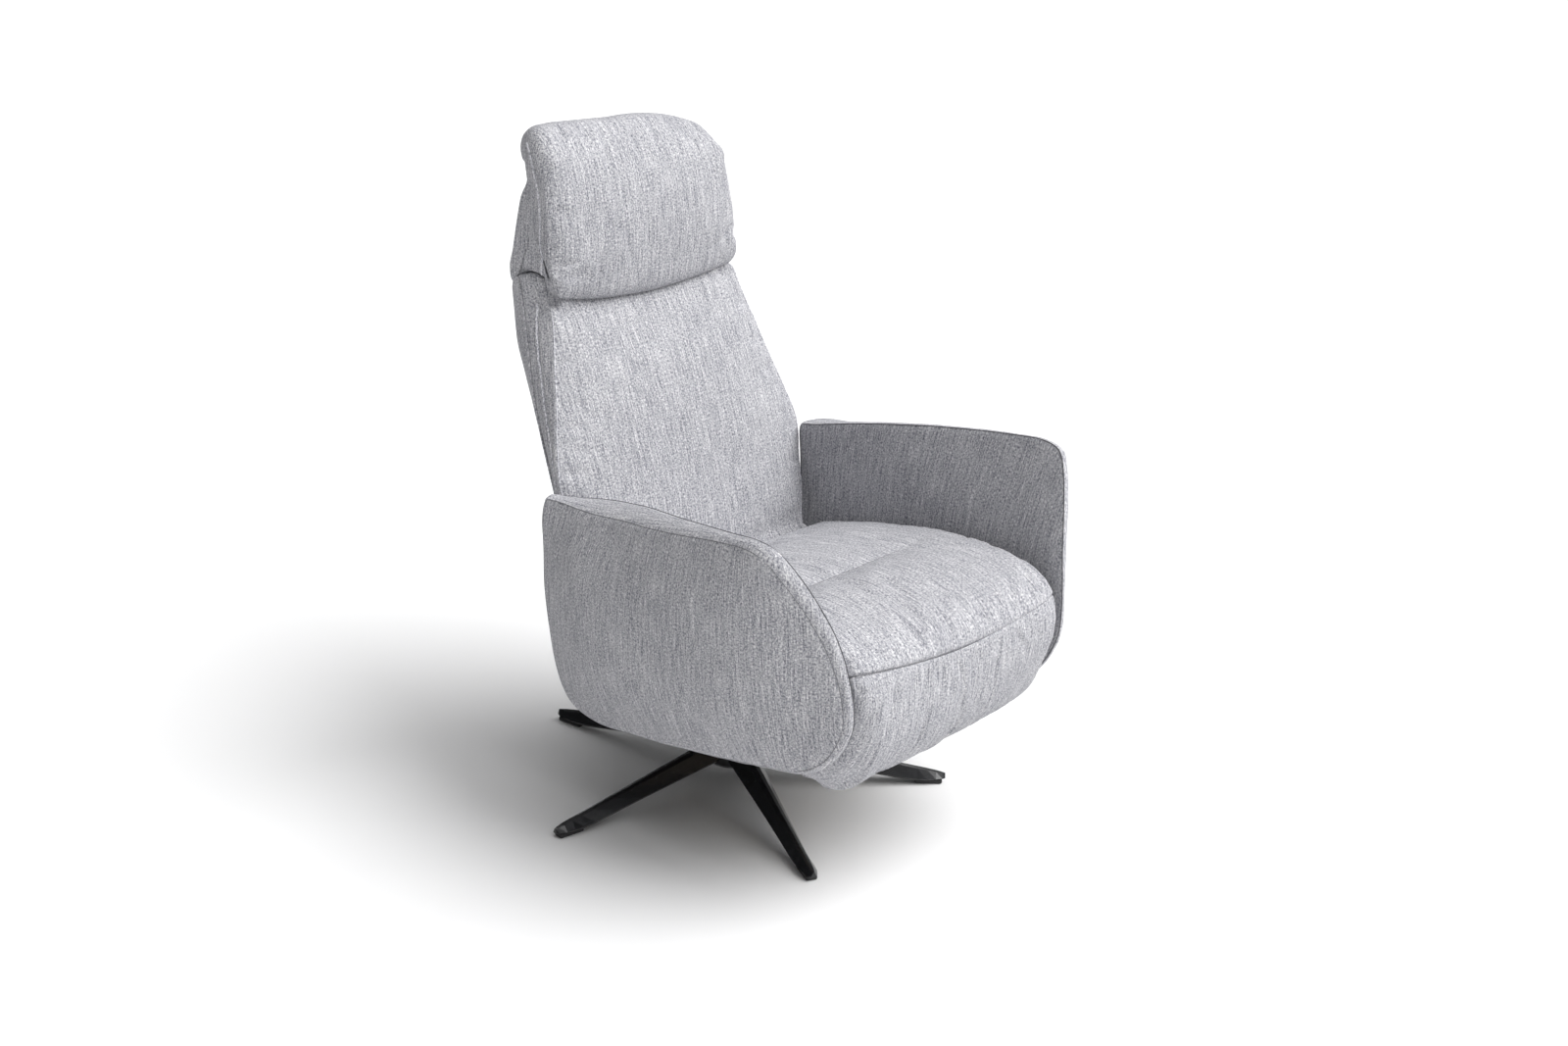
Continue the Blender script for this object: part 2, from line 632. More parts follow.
# the sitter's right armrest stands a little prouder at its top rear corner, where its two panels run together
ARM_IN_R = [(.108, .5515, .276), (.040, .5670, .2650)] + ARM_IN_L[2:-3] + [(.125, .485, .259), (.133, .530, .278), (.1325, .5510, .291)]
ARM_OUT_R = [(.112, .5530, .3105), (.036, .5600, .3130)] + ARM_OUT_L[2:-4] + [(.1178, .415, .3255), (.1245, .475, .3215), (.1300, .524, .3185), (.1265, .5515, .315)]


def build_arm(side, name):
    ARM_IN, ARM_OUT = (ARM_IN_R, ARM_OUT_R) if side < 0 else (ARM_IN_L, ARM_OUT_L)
    bi = loop_through(ARM_IN, NTH)
    # the outer loop keeps the inner loop's stations, so that the band's threads run straight across
    bo_raw = loop_through(ARM_OUT, NTH * 8)
    k = len(ARM_IN)
    def stations(pts, dense):
        idx = [int(np.argmin(np.linalg.norm(dense[:, :2] - np.array(p[:2]), axis=1))) for p in pts]
        return idx
    dense_in = loop_through(ARM_IN, NTH * 8)
    si, so = stations(ARM_IN, dense_in), stations(ARM_OUT, bo_raw)
    n8 = NTH * 8
    fi = np.array(si + [si[0] + n8], float)
    fo = np.array(so + [so[0] + n8], float)
    for f in (fi, fo):
        for q in range(1, len(f)):
            while f[q] < f[q - 1]:
                f[q] += n8
    want = np.interp(np.arange(NTH) * 8.0 + fi[0], fi, fo)
    bi = dense_in[(np.arange(NTH) * 8 + int(fi[0])) % n8]
    bo = np.stack([np.interp(want % n8, np.arange(n8), bo_raw[:, c]) for c in range(3)], 1)
    f_in = tps([p[:2] for p in ARM_IN] + [p[:2] for p in IN_X], [p[2] for p in ARM_IN] + [p[2] for p in IN_X])
    f_out = tps([p[:2] for p in ARM_OUT] + [p[:2] for p in OUT_X], [p[2] for p in ARM_OUT] + [p[2] for p in OUT_X])
    centre = np.array([-0.165, 0.425])
    rows = []
    rho_in = np.concatenate([np.linspace(0.03, 0.94, 26), [0.965, 0.985, 1.0]])
    for r in rho_in:
        p = centre + (bi[:, :2] - centre) * r
        x = f_in(p)
        if r > 0.999:
            x = bi[:, 2]
        rows.append(np.stack([x, p[:, 0], p[:, 1]], 1))
    for t in (0.18, 0.36, 0.54, 0.72, 0.88):
        q = bi * (1 - t) + bo * t
        puff = 0.0022 * math.sin(math.pi * t)
        dirn = bi[:, :2] - centre
        dirn /= np.linalg.norm(dirn, axis=1)[:, None]
        rows.append(np.stack([q[:, 2], q[:, 0] + dirn[:, 0] * puff, q[:, 1] + dirn[:, 1] * puff], 1))
    for r in np.concatenate([[1.0, 0.985, 0.965], np.linspace(0.94, 0.03, 30)]):
        p = centre + (bo[:, :2] - centre) * r
        x = f_out(p) if r < 0.999 else bo[:, 2]
        rows.append(np.stack([x, p[:, 0], p[:, 1]], 1))
    rows = np.array(rows)
    if side > 0:
        fore = np.clip((-0.28 - rows[..., 1]) / 0.10, 0, 1)
        out_by = np.interp(rows[..., 2], (0.26, 0.285, 0.310, 0.335, 0.370, 0.410, 0.440), (-0.0050, -0.0042, -0.0010, 0.0014, 0.0014, 0.0006, 0.0002))
        rows[..., 0] += out_by * fore * np.clip((rows[..., 0] - 0.24) / 0.03, 0, 1)
        rows[..., 1] -= 0.4 * out_by * fore
        rows[..., 2] -= np.clip((rows[..., 2] - 0.50) / 0.03, 0, 1) * (0.0010 + 0.0012 * np.clip((rows[..., 1] - 0.02) / 0.06, 0, 1))
    else:
        rows[..., 1] -= 0.0018 * np.clip((rows[..., 1] - 0.02) / 0.05, 0, 1) * np.clip((0.50 - rows[..., 2]) / 0.05, 0, 1)
        toe = np.exp(-((rows[..., 2] - 0.285) / 0.042) ** 2) * np.clip((-0.33 - rows[..., 1]) / 0.06, 0, 1)
        rows[..., 1] -= 0.0030 * toe
        rows[..., 2] -= 0.0022 * toe
    rows[..., 0] *= side
    ob = skin(name, rows)
    # gentle unevenness of stuffing under cloth
    co, no = coords(ob), normals(ob)
    d = 0.0016 * noise2(co[:, 1] / 0.11, co[:, 2] / 0.09, 3 if side < 0 else 8, 2)
    set_coords(ob, co + no * d[:, None])
    inner = np.stack([bi[:, 2] * side, bi[:, 0] + YS, bi[:, 1]], 1)
    outer = np.stack([bo[:, 2] * side, bo[:, 0] + YS, bo[:, 1]], 1)
    groove(ob, inner, 0.0022, 0.0055, 0.0006, 4)
    groove(ob, outer, 0.0026, 0.0055, 0.0008, 7)
    tag = "right" if side < 0 else "left"
    dress(ob, "chassis")
    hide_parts("arm_inner_pad_" + tag, "arm_outer_shell_" + tag)
    for nm, ln, rad, mat in (("inner", inner, 0.0008, SEAM_DEEP), ("outer", outer, 0.0006, SEAM)):
        line = smooth_line(snap(ob, ln, 0.0001), 2, True)
        t = thread("arm_seam_%s_%s" % (nm, tag), line, rad, mat, True)
        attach(t, "chassis")
    return ob


arm_r = build_arm(-1, "arm_cover_right")
arm_l = build_arm(1, "arm_cover_left")

# ------------------------------------------------------------------ seat cushion
SEAT_HALF = 0.2345
SEAT_Z = ((-0.405, 0.4820), (-0.380, 0.4845), (-0.345, 0.4855), (-0.300, 0.4820), (-0.260, 0.4760), (-0.200, 0.4640), (-0.150, 0.4520),
          (-0.100, 0.4390), (-0.040, 0.4200), (0.030, 0.3980), (0.060, 0.3880))
NOSE_D = ((8.0, 0.0770), (14.0, 0.0795), (25.0, 0.0805), (40.0, 0.0790), (55.0, 0.0770), (72.0, 0.0758), (90.0, 0.0770))


def seam_deg(x):
    """How high the front seam sits on the nose, in degrees above the leg rest axis: it rises towards the sides."""
    return 12.0 + 17.0 * np.clip(np.abs(x) / 0.23, 0, 1.05) ** 1.7


def seam_back(x):
    """How far the front seam is set in towards the sides."""
    return 0.004 * (np.abs(x) / 0.23) ** 2.2


def seam_point(x):
    x = np.asarray(x, float)
    a = np.radians(seam_deg(x))
    d = spl(NOSE_D, seam_deg(x)) - seam_back(x) - 0.0020
    return np.stack([x, A[0] - d * np.cos(a), A[1] + d * np.sin(a)], -1)


def seat_rows():
    rows = []
    nq = 97
    q = np.linspace(-1, 1, nq)
    side = np.sin(q * math.pi / 2 * 0.94) / math.sin(math.pi / 2 * 0.94)
    stations = [("under", t) for t in (0.0, 0.2, 0.4, 0.6, 0.8, 0.92, 1.0)]
    stations += [("nose", t) for t in np.concatenate([[0.0, 0.02, 0.05], np.linspace(0.09, 0.97, 24)])]
    stations += [("top", y) for y in np.concatenate([np.linspace(-0.405, 0.030, 84), [0.038, 0.046, 0.053, 0.058]])]
    for kind, v in stations:
        ax = np.abs(side)
        edge = np.clip((ax - 0.90) / 0.10, 0, 1)
        roll = 1 - np.sqrt(np.maximum(1 - (edge * 0.985) ** 2, 0))          # round shoulder, 0 to about 0.83
        if kind == "under":
            w = 0.2140
            x = w * side
            a = np.radians(-82 + (80 + seam_deg(x)) * v)
            d = 0.0655 - 0.006 * roll
            y = A[0] - d * np.cos(a)
            z = A[1] + d * np.sin(a)
        elif kind == "nose":
            w = SEAT_HALF - 0.0060 * max(0.0, 1 - v / 0.05)
            x = w * side
            a0 = seam_deg(x)
            deg = a0 + (90 - a0) * v
            a = np.radians(deg)
            tuck = (0.0026 * max(0.0, 1 - v / 0.04) ** 1.3 + 0.0012 * math.exp(-(v / 0.06) ** 2)) * np.clip((0.16 - x) / 0.16, 0.20, 1)
            d = spl(NOSE_D, deg) - (0.0150 + 0.0040 * min(v / 0.35, 1.0)) * roll - tuck - 0.0052 * (ax ** 4) * (1 - v * 0.5)
            y = A[0] - d * np.cos(a)
            z = A[1] + d * np.sin(a)
        else:
            y0 = v
            w = float(spl(((-0.405, SEAT_HALF), (-0.34, 0.2360), (-0.2, 0.2420), (0.0, 0.2470), (0.06, 0.2470)), y0))
            x = w * side
            end = max(0.0, (y0 - 0.030) / 0.03)
            k = max(0.0, 1 - (y0 + 0.405) / 0.10)
            z = float(spl(SEAT_Z, y0)) + 0.004 * (1 - ax ** 2) * (1 - k) - 0.0030 * k * ax ** 4 - 0.022 * roll - 0.030 * end ** 2
            y = np.full(nq, y0)
        top = np.stack([x, y, z], 1)
        if kind == "top":
            zb = 0.330 + 0.020 * max(0.0, 1 - (v + 0.405) / 0.05) ** 2
            bot = np.stack([x[::-1] * 0.985, np.full(nq, v), np.full(nq, zb)], 1)
        else:
            am = a[::-1]
            down = 0.030 * v if kind == "nose" else 0.0
            bot = np.stack([x[::-1] * 0.985, A[0] + 0.010 - 0.030 * np.cos(am), A[1] - 0.012 + 0.030 * np.sin(am) - down], 1)
        def wall(p, r, n=5):
            t = np.linspace(0, 1, n + 2)[1:-1][:, None]
            mid = p * (1 - t) + r * t
            mid[:, 0] += np.sign(p[0]) * 0.002 * np.sin(math.pi * t[:, 0])
            return mid
        rows.append(np.concatenate([top, wall(top[-1], bot[0]), bot[::3], wall(bot[-1], top[0])]))
    return np.array(rows)


seat = skin("seat_cover", seat_rows())
co, no = coords(seat), normals(seat)
ly = co[:, 1] - YS
topness = np.clip(no[:, 2], 0, 1)
d = 0.0022 * noise2(co[:, 0] / 0.13, ly / 0.10, 21, 2) * topness
set_coords(seat, co + no * d[:, None])
xs = np.linspace(-0.238, 0.16, 90)
mid_seam = np.stack([xs, -0.243 + YS + 0 * xs, np.full(90, 0.48)], 1)
mid_seam = snap(seat, mid_seam)
fade = np.clip((0.165 - mid_seam[:, 0]) / 0.16, 0, 1)
co, no = coords(seat), normals(seat)
dd, ix = distance_to(co, mid_seam)
push = -(0.0045 * np.exp(-(dd / 0.008) ** 2) + 0.0040 * np.exp(-(dd / 0.035) ** 2)) * fade[ix] * np.clip(no[:, 2], 0, 1)
set_coords(seat, co + no * push[:, None])
co, no = coords(seat), normals(seat)
ang = np.degrees(np.arctan2(co[:, 2] - A[1], -(co[:, 1] - YS - A[0])))
free = np.clip((np.maximum(no[:, 2], -no[:, 1]) - 0.25) / 0.35, 0, 1)
free *= np.clip((ang - seam_deg(co[:, 0]) - 2) / 8, 0, 1) * (co[:, 2] > 0.36) * np.clip((0.03 - (co[:, 1] - YS)) / 0.03, 0, 1)
hold = np.maximum(1 - free, 0.95 * np.exp(-(dd / 0.007) ** 2) * fade[ix])
settle(seat, hold, 4.0, 0.020, 0.009, 0.6, 0.25, 1.0)
dress(seat, "chassis", along=(0, 1, 0))
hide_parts("seat_cushion")
line = smooth_line(snap(seat, mid_seam[:78], 0.0001), 2)
t = thread("seat_cross_seam", line, 0.0005, SEAM)
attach(t, "chassis")

# ------------------------------------------------------------------ leg rest (front panel)
LEG_OUT = [(-.4865, .4000), (-.4880, .3800), (-.4885, .3580), (-.4865, .3280), (-.4790, .2950), (-.4630, .2620),
           (-.4410, .2350), (-.4120, .2120), (-.3820, .1980), (-.3620, .1950)]
LEG_IN = [(-.3560, .2080), (-.3680, .2330), (-.3880, .2620), (-.4020, .3000), (-.4110, .3260), (-.4230, .3360), (-.4420, .3460),
          (-.4600, .3620), (-.4700, .3850), (-.4715, .3950)]


def leg_rows():
    outer = loop_through(LEG_OUT, 84, False)
    inner = loop_through([LEG_OUT[-1]] + LEG_IN, 34, False)[1:]
    fs = np.concatenate([[-1, -0.996, -0.985, -0.968, -0.945, -0.92], np.linspace(-0.89, 0.89, 110), [0.92, 0.945, 0.968, 0.985, 0.996, 1]])
    W = 0.2305
    rows = []
    k_up = 12
    for f in fs:
        x = W * f
        ends = np.clip((abs(f) - 0.90) / 0.10, 0, 1)
        roll = 1 - math.sqrt(max(1 - (ends * 0.985) ** 2, 0))
        wide = abs(x) / 0.20
        near = max(abs(x) - 0.178, 0.0)
        inset = (0.004 + 0.0135 * wide ** 2 + 0.020 * roll) if x > 0 else (0.55 * near + 0.016 * roll)
        inset += 0.003
        sp = seam_point(np.array(x))
        a0 = math.radians(float(seam_deg(np.array(x))))
        # from the seam down to the straight face, following the nose
        d0 = float(spl(NOSE_D, math.degrees(a0))) - float(seam_back(np.array(x)))
        upper = []
        for t in np.linspace(0, 1, k_up, endpoint=False):
            a = a0 * (1 - t) + math.radians(-3.5) * t
            d = (d0 - 0.0024 * max(0.0, 1 - t / 0.12) ** 1.4 * float(np.clip((0.16 - x) / 0.16, 0.20, 1))) * (1 - t) + 0.0818 * t
            d = d - 0.0150 * roll - 0.0050 * min(abs(f), 1) ** 4 * (0.6 + 0.4 * t)
            upper.append((A[0] - d * math.cos(a), A[1] + d * math.sin(a)))
        p = outer.copy()
        # outward normals of the profile, and how much of the side rounding each height takes
        tan = np.gradient(p, axis=0)
        nrm = np.stack([tan[:, 1], -tan[:, 0]], 1)
        nrm /= np.linalg.norm(nrm, axis=1)[:, None]
        if nrm[0, 0] > 0:
            nrm = -nrm
        take = np.clip((0.400 - p[:, 1]) / 0.110, 0, 1)
        take = take * take * (3 - 2 * take)
        back_off = inset * take + (0.0150 * roll + 0.0050 * abs(f) ** 4) * (1 - take)
        p = p - nrm * back_off[:, None]
        p[:, 1] -= 0.009 * math.exp(-((x + 0.172) / 0.019) ** 2) * np.clip((0.27 - p[:, 1]) / 0.06, 0, 1)
        inn = inner.copy()
        inn[:, 1] += inset * 0.6 * np.clip((0.30 - inn[:, 1]) / 0.08, 0, 1)
        top_in = np.array([(A[0] - 0.0675 * math.cos(a0 * tt), A[1] + 0.0675 * math.sin(a0 * tt)) for tt in (0.15, 0.5, 0.9)])
        full = np.concatenate([np.array(upper), p, inn, top_in])
        low = np.clip((0.300 - full[:, 1]) / 0.085, 0, 1)
        xs_ = x * (1 - (0.070 if x < 0 else 0.0) * low * low * (3 - 2 * low))
        rows.append(np.stack([xs_, full[:, 0], full[:, 1]], 1))
    return np.array(rows)


leg = skin("legrest_cover", leg_rows())
co, no = coords(leg), normals(leg)
front = np.clip(-no[:, 1] + 0.35 * -no[:, 2], 0, 1)
x = co[:, 0]
sz = seam_point(x)[:, 2]
depth = sz - co[:, 2]                       # below the seam
# gathers that hang from the seam, stronger towards the sitter's right, dying out downwards
slant = x + 0.10 * depth
ridge = noise2(slant / 0.017, depth / 0.11, 31, 3)
ridge2 = noise2(slant / 0.040, depth / 0.16, 17, 2)
env = np.exp(-((depth - 0.060) / 0.075) ** 2) * (0.45 + 0.85 * np.clip((0.12 - x) / 0.3, 0, 1)) * np.clip(depth / 0.02, 0, 1)
d = (0.0026 * ridge + 0.0034 * ridge2) * env * front
d += 0.0020 * noise2(x / 0.09, depth / 0.07, 12, 2) * front * np.clip(depth / 0.03, 0, 1)
set_coords(leg, co + no * d[:, None])
co, no = coords(leg), normals(leg)
below = seam_point(co[:, 0])[:, 2] - co[:, 2]
free = np.clip((-no[:, 1] - 0.15) / 0.35, 0, 1) * np.clip((below - 0.002) / 0.010, 0, 1) * (co[:, 1] - YS < -0.40)
settle(leg, 1 - free, 4.0, 0.035, 0.007, 0.25, 0.15, 1.0)
box_uv(leg)
leg.data.materials.append(FABRIC)
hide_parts("legrest_pad")
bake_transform(leg)
seam_line = seam_point(np.linspace(-0.2290, 0.1620, 110)) + np.array([0, YS, 0])
t = thread("seat_front_seam", smooth_line(seam_line, 4), 0.0005, SEAM)
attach(t, "chassis")


# ------------------------------------------------------------------ back
def on_back(x, n, u):
    """Chair coordinates of a point given across, out of and up the back."""
    yz = R + N * np.asarray(n)[..., None] + U * np.asarray(u)[..., None]
    return np.stack([np.asarray(x) + 0 * yz[..., 0], yz[..., 0], yz[..., 1]], -1)

BACK_W = ((-0.06, 0.2240), (0.0, 0.2270), (0.036, 0.2370), (0.067, 0.2460), (0.099, 0.2530), (0.125, 0.2585), (0.156, 0.2665), (0.182, 0.2685),
          (0.205, 0.2645), (0.234, 0.2580), (0.263, 0.2505), (0.292, 0.2420), (0.321, 0.2340), (0.350, 0.2270), (0.378, 0.2200), (0.407, 0.2120),
          (0.435, 0.2065), (0.463, 0.2020), (0.520, 0.1990))
SHELL_W = ((-0.06, 0.2300), (0.0, 0.2360), (0.080, 0.2400), (0.130, 0.2400), (0.178, 0.2390), (0.230, 0.2390), (0.270, 0.2385), (0.345, 0.2335),
           (0.415, 0.2225), (0.484, 0.2125), (0.520, 0.2085))
WALL_SEAM = ((-0.02, 0.0200), (0.20, 0.0225), (0.245, 0.0240), (0.296, 0.0190), (0.366, 0.0155), (0.415, 0.0135), (0.471, 0.0190))


def back_rows():
    rows = []
    nq = 64
    q = np.linspace(-1, 1, nq)
    side = np.sin(q * math.pi / 2 * 0.97) / math.sin(math.pi / 2 * 0.97)
    top_u = 0.4664
    st = [("low", a) for a in (86, 75, 64, 53, 42, 31, 20, 10)] + [("mid", u) for u in np.linspace(0.0, top_u, 84)] + \
         [("top", a) for a in (8, 17, 26, 35, 44, 53, 62, 71, 79, 86)]
    for kind, v in st:
        if kind == "low":
            a = math.radians(v)
            u, nf, w = -0.0555 * math.sin(a), 0.0555 * math.cos(a), 0.232
        elif kind == "mid":
            u, nf, w = v, 0.0480, float(spl(BACK_W, v))
        else:
            a = math.radians(v)
            r = 0.0430 + 0.0112 * (math.sin(a) ** 2)
            u, nf, w = top_u + r * math.sin(a), 0.0067 + r * math.cos(a), float(spl(BACK_W, top_u + r * math.sin(a)))
        x = w * side
        crown = float(spl(((-0.06, 0.0), (0.0, 0.008), (0.08, 0.0190), (0.20, 0.0250), (0.33, 0.0210), (0.41, 0.0090), (0.455, 0.0030), (0.52, 0.0)), u))
        edge = 1 - np.sqrt(np.maximum(1 - (np.clip((np.abs(x) / w - 0.955) / 0.045, 0, 1) * 0.97) ** 2, 0))
        nn = nf + crown * (1 - np.abs(x / w) ** 2.2) - 0.0125 * edge * np.clip((nf - 0.012) / 0.03, 0, 1)
        corner = np.clip((np.abs(x) / w - 0.87) / 0.08, 0, 1)
        rise = min(max((u - 0.448) / 0.018, 0.0), 1.0)
        fall = min(max((0.510 - u) / 0.025, 0.0), 1.0)
        nn = nn - 0.0170 * corner * corner * (3 - 2 * corner) * rise * rise * (3 - 2 * rise) * fall * fall * (3 - 2 * fall) * np.clip((nf - 0.012) / 0.03, 0, 1)
        front = on_back(x, nn, np.full(nq, u))
        nb = -0.004 if kind != "low" else min(-0.004, nf - 0.012)
        nb = min(nb, nf - 0.006)
        wr = float(spl(SHELL_W, u)) - 0.001 if kind != "low" else w * 0.995
        rear = on_back(x[::-1] * (wr / w), np.full(nq, nb), np.full(nq, u))
        k = 12
        t = np.linspace(0, 1, k + 2)[1:-1][:, None]
        def wall(p, r):
            mid = p * (1 - t) + r * t
            mid[:, 0] += np.sign(p[0]) * 0.0030 * np.sin(math.pi * t[:, 0])
            return mid
        rows.append(np.concatenate([front, wall(front[-1], rear[0]), rear[::3], wall(rear[-1], front[0])]))
    return np.array(rows)


back = skin("back_cover", back_rows())
co, no = coords(back), normals(back)
rel = co - np.array([0, R[0] + YS, R[1]])
uu = rel[:, 1] * U[0] + rel[:, 2] * U[1]
face = np.clip(no[:, 1] * N[0] + no[:, 2] * N[1], 0, 1)
d = 0.0022 * noise2(co[:, 0] / 0.12, uu / 0.14, 44, 2) * face
set_coords(back, co + no * d[:, None])
co, no = coords(back), normals(back)
free = np.clip((no[:, 1] * N[0] + no[:, 2] * N[1] - 0.25) / 0.35, 0, 1) * np.clip((uu + 0.01) / 0.03, 0, 1) * np.clip((0.47 - uu) / 0.02, 0, 1)
settle(back, 1 - free, 4.0, 0.016, 0.007, 0.7, 0.25, 1.0)
back_along = (0, U[0], U[1])
dress(back, "backrest", along=back_along)
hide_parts("back_cushion")

REAR_N = ((-0.06, -0.030), (-0.03, -0.0480), (0.0, -0.0555), (0.100, -0.0575), (0.215, -0.0585), (0.307, -0.0590), (0.400, -0.0578), (0.486, -0.0480), (0.520, -0.0425))


def shell_rows():
    rows = []
    nq = 56
    q = np.linspace(-1, 1, nq)
    side = np.sin(q * math.pi / 2 * 0.95) / math.sin(math.pi / 2 * 0.95)
    us = np.concatenate([[-0.050, -0.046, -0.038, -0.026, -0.012], np.linspace(0.0, 0.504, 72), [0.511, 0.516, 0.519]])
    for u in us:
        w = float(spl(SHELL_W, u)) - 0.0015
        if u < 0:
            w = 0.232 + 0.006 * (1 + u / 0.05)
        x = w * side
        nr = float(spl(REAR_N, u))
        if u > 0.504:
            nr += 0.012 * ((u - 0.504) / 0.015) ** 2
        ax = np.abs(side)
        slant = float(spl(((-0.05, 0.020), (0.05, 0.050), (0.23, 0.052), (0.30, 0.040), (0.36, 0.027), (0.42, 0.014), (0.52, 0.010)), u))
        e = np.clip((ax * w - (w - slant * 1.55)) / (slant * 1.55), 0, 1)
        nn = nr + (-0.0085 - nr) * (0.10 * e + 0.90 * e ** 2.3) * 0.985
        rear = on_back(x, nn, np.full(nq, u))
        front = on_back(x[::-1] * 0.99, np.full(nq, -0.0080), np.full(nq, u))
        k = 4
        t = np.linspace(0, 1, k + 2)[1:-1][:, None]
        def wall(p, r):
            return p * (1 - t) + r * t
        rows.append(np.concatenate([rear, wall(rear[-1], front[0]), front[::3], wall(front[-1], rear[0])]))
    return np.array(rows)


shell = skin("back_rear_shell", shell_rows())
co, no = coords(shell), normals(shell)
rel = co - np.array([0, R[0] + YS, R[1]])
uu = rel[:, 1] * U[0] + rel[:, 2] * U[1]
set_coords(shell, co + no * (0.0012 * noise2(co[:, 0] / 0.13, uu / 0.12, 57, 2))[:, None])
dress(shell, "backrest", along=back_along)
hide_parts("back_rear_cover")

for s, tag in ((-1, "right"), (1, "left")):
    # the welted seam down the side, between the front cushion and the rear half
    us = np.linspace(-0.02, 0.471, 150)
    wide = spl(BACK_W, us) + 0.004
    line = on_back(s * wide, spl(WALL_SEAM, us), us)
    line[:, 1] += YS
    line = smooth_line(snap(back, line, 0.0), 4)
    groove(back, line, 0.0032, 0.0050, 0.0004, 5)
    line = smooth_line(snap(back, line, 0.0006), 2)
    t = thread("back_piping_" + tag, line, 0.0022, PIPING)
    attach(t, "backrest")
    us = np.linspace(0.0, 0.4664, 130)
    line = on_back(s * (spl(BACK_W, us) - 0.0030), np.full(130, 0.0450), us)
    line[:, 1] += YS
    line = smooth_line(snap(back, line, 0.0002), 4)
    t = thread("back_edge_seam_" + tag, line, 0.0009, PIPING)
    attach(t, "backrest")
    us = np.linspace(-0.01, 0.500, 120)
    line = on_back(s * (spl(SHELL_W, us) - 0.0006), np.full(120, -0.0062), us)
    line[:, 1] += YS
    t = thread("back_shell_seam_" + tag, smooth_line(line, 2), 0.0022, FABRIC)
    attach(t, "backrest")

# ------------------------------------------------------------------ headrest
HEAD_OUT = [(.2335, .8010, .1930), (.2250, .8090, .1990), (.2195, .8350, .2030), (.2200, .8750, .2050), (.2250, .9250, .2060), (.2355, .9750, .2060),
            (.2520, 1.0200, .2050), (.2750, 1.0600, .2030), (.3020, 1.0800, .2000), (.3280, 1.0790, .1970), (.3490, 1.0640, .1935),
            (.3570, 1.0410, .1910), (.3510, 1.0200, .1900), (.3380, 1.0110, .1920)]
HEAD_BACK = [(.3345, .9900, .1965), (.3415, .9400, .1995), (.3485, .8900, .2015), (.3525, .8540, .2020), (.3480, .8290, .2010), (.3370, .8220, .1990),
             (.3320, .8345, .1960), (.3235, .8475, .1970), (.3060, .8550, .1970), (.2885, .8562, .1960), (.2640, .8500, .1950), (.2500, .8400, .1900), (.2420, .8220, .1900), (.2385, .8080, .1900)]


